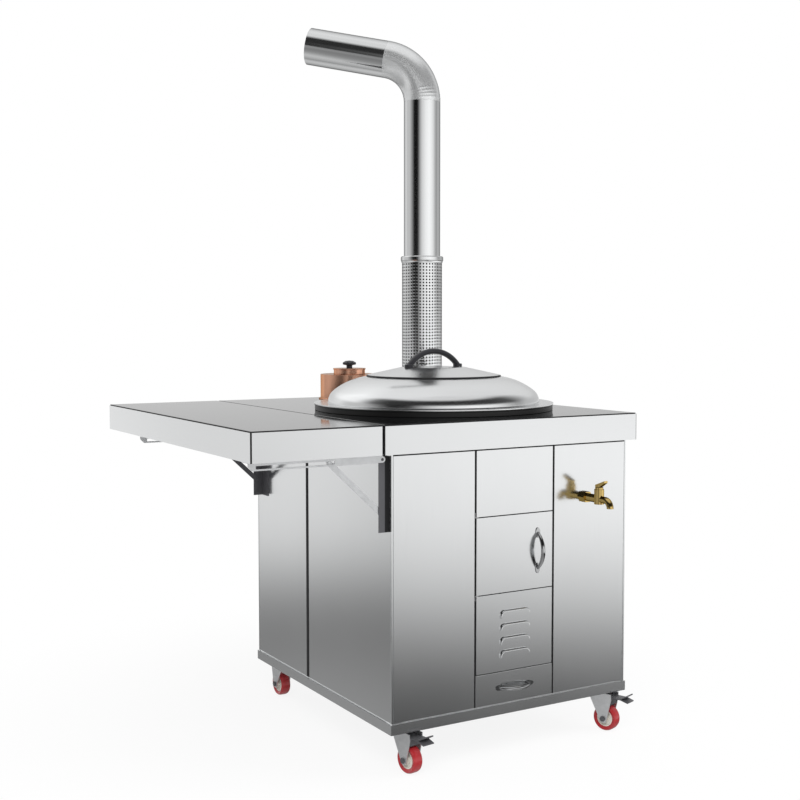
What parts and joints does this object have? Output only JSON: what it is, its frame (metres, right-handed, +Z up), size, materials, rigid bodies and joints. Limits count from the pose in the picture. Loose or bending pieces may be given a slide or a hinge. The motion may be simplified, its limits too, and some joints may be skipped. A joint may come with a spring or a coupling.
{
  "type": "wood-burning cook stove",
  "caption": "Wheeled wood-burning wok stove: steel cabinet with glass worktop, fold-down side leaf, lidded wok, fire door, ash drawer, water tank with tap, and tall elbowed flue.",
  "frame": {"origin": "centre of the overall footprint, on the floor under the casters", "axes": "+Z up, +X to the stove's own right as seen from the front, the front faces -Y"},
  "size_m": [1.0076, 1.1864, 1.8694],
  "materials": {
    "stainless": "brushed",
    "glass": "polished",
    "black_iron": "satin",
    "fire_iron": "rough",
    "chrome": "polished",
    "black_plastic": "satin",
    "copper": "polished",
    "brass": "polished",
    "zinc": "plated",
    "red_wheel": "satin",
    "pale_hub": "satin",
    "dark_steel": "satin"
  },
  "bodies": {
    "stove": {"base_frame": "stainless", "floor_pan": "stainless", "corner_posts": "stainless", "front_frame": "zinc", "front_left_panel": "stainless", "front_right_panel": "stainless", "front_top_panel": "stainless", "louver_panel": "stainless", "left_front_panel": "stainless", "left_rear_panel": "stainless", "right_panel": "stainless", "rear_panel": "stainless", "worktop_tray": "stainless", "worktop_glass": "glass", "wok_ring": "black_iron", "firebox": "fire_iron", "fire_grate": "fire_iron", "drawer_runners": "zinc", "smoke_box": "fire_iron", "flue_guard": "chrome", "guard_collar": "chrome", "flue_pipe": "chrome", "flue_elbow": "chrome", "outlet_pipe": "chrome", "water_tank": "copper", "water_pipe": "copper", "tap_body": "brass", "door_hinge_pins": "zinc", "bracket_wall_arms": "zinc", "caster_plates": "zinc"},
    "wok": {"wok": "black_iron"},
    "lid": {"lid_dome": "chrome", "lid_handle": "black_plastic"},
    "tank_lid": {"tank_lid": "copper", "tank_knob": "black_plastic"},
    "tap_lever": {"tap_lever": "brass"},
    "fire_door": {"fire_door": "stainless", "door_liner": "fire_iron", "door_handle": "chrome"},
    "ash_drawer": {"ash_drawer": "stainless", "drawer_handle": "chrome"},
    "leaf": {"leaf_tray": "stainless", "leaf_glass": "glass", "bracket_arms": "zinc"},
    "front_strut": {"front_strut": "zinc"},
    "rear_strut": {"rear_strut": "zinc"},
    "front_left_fork": {"front_left_fork": "zinc"},
    "front_left_wheel": {"front_left_tyre": "red_wheel", "front_left_hub": "pale_hub"},
    "front_left_pedal": {"front_left_pedal": "dark_steel"},
    "front_right_fork": {"front_right_fork": "zinc"},
    "front_right_wheel": {"front_right_tyre": "red_wheel", "front_right_hub": "pale_hub"},
    "front_right_pedal": {"front_right_pedal": "dark_steel"},
    "rear_left_fork": {"rear_left_fork": "zinc"},
    "rear_left_wheel": {"rear_left_tyre": "red_wheel", "rear_left_hub": "pale_hub"},
    "rear_right_fork": {"rear_right_fork": "zinc"},
    "rear_right_wheel": {"rear_right_tyre": "red_wheel", "rear_right_hub": "pale_hub"}
  },
  "joints": [
    {"name": "wok_lift", "type": "slide", "parent": "stove", "child": "wok", "axis": [0, 0, 1], "range_m": [0, 0.25]},
    {"name": "lid_lift", "type": "slide", "parent": "wok", "child": "lid", "axis": [0, 0, 1], "range_m": [0, 0.3]},
    {"name": "tank_lid_lift", "type": "slide", "parent": "stove", "child": "tank_lid", "axis": [0, 0, 1], "range_m": [0, 0.15]},
    {"name": "tap_turn", "type": "hinge", "parent": "stove", "child": "tap_lever", "pos_m": [0.35775, -0.5452, 0.6183], "axis": [0, 0, 1], "range_deg": [0, 90]},
    {"name": "fire_door_hinge", "type": "hinge", "parent": "stove", "child": "fire_door", "pos_m": [0.05125, -0.4887, 0.47425], "axis": [0, 0, -1], "range_deg": [0, 105]},
    {"name": "ash_drawer_slide", "type": "slide", "parent": "stove", "child": "ash_drawer", "axis": [0, -1, 0], "range_m": [0, 0.35]},
    {"name": "leaf_fold", "type": "hinge", "parent": "stove", "child": "leaf", "pos_m": [-0.18925, -0.4852, 0.709], "axis": [0, -1, 0], "range_deg": [0, 90]},
    {"name": "front_strut_swing", "type": "hinge", "parent": "stove", "child": "front_strut", "pos_m": [-0.18925, -0.4806, 0.591], "axis": [0, -1, 0], "range_deg": [0, 134]},
    {"name": "rear_strut_swing", "type": "hinge", "parent": "stove", "child": "rear_strut", "pos_m": [-0.18925, 0.1872, 0.591], "axis": [0, -1, 0], "range_deg": [0, 134]},
    {"name": "front_left_swivel", "type": "hinge", "parent": "stove", "child": "front_left_fork", "pos_m": [-0.11125, -0.4322, 0.096], "axis": [0, 0, 1], "continuous": true},
    {"name": "front_left_roll", "type": "hinge", "parent": "front_left_fork", "child": "front_left_wheel", "pos_m": [-0.10707, -0.46191, 0.0315], "axis": [0.9903, 0.1392, 0], "continuous": true},
    {"name": "front_left_brake", "type": "hinge", "parent": "front_left_fork", "child": "front_left_pedal", "pos_m": [-0.10819, -0.45399, 0.0875], "axis": [0.9903, 0.1392, 0], "range_deg": [0, 12]},
    {"name": "front_right_swivel", "type": "hinge", "parent": "stove", "child": "front_right_fork", "pos_m": [0.44775, -0.4322, 0.096], "axis": [0, 0, 1], "continuous": true},
    {"name": "front_right_roll", "type": "hinge", "parent": "front_right_fork", "child": "front_right_wheel", "pos_m": [0.45801, -0.4604, 0.0315], "axis": [0.9397, 0.342, 0], "continuous": true},
    {"name": "front_right_brake", "type": "hinge", "parent": "front_right_fork", "child": "front_right_pedal", "pos_m": [0.45527, -0.45288, 0.0875], "axis": [0.9397, 0.342, 0], "range_deg": [0, 12]},
    {"name": "rear_left_swivel", "type": "hinge", "parent": "stove", "child": "rear_left_fork", "pos_m": [-0.11125, 0.1808, 0.096], "axis": [0, 0, 1], "continuous": true},
    {"name": "rear_left_roll", "type": "hinge", "parent": "rear_left_fork", "child": "rear_left_wheel", "pos_m": [-0.11125, 0.2108, 0.0315], "axis": [-1, 0, 0], "continuous": true},
    {"name": "rear_right_swivel", "type": "hinge", "parent": "stove", "child": "rear_right_fork", "pos_m": [0.44775, 0.1808, 0.096], "axis": [0, 0, 1], "continuous": true},
    {"name": "rear_right_roll", "type": "hinge", "parent": "rear_right_fork", "child": "rear_right_wheel", "pos_m": [0.44775, 0.2108, 0.0315], "axis": [-1, 0, 0], "continuous": true}
  ],
  "couplings": [
    {"joint": "front_strut_swing", "follows": "leaf_fold", "ratio": 1.4779},
    {"joint": "rear_strut_swing", "follows": "leaf_fold", "ratio": 1.4779}
  ]
}
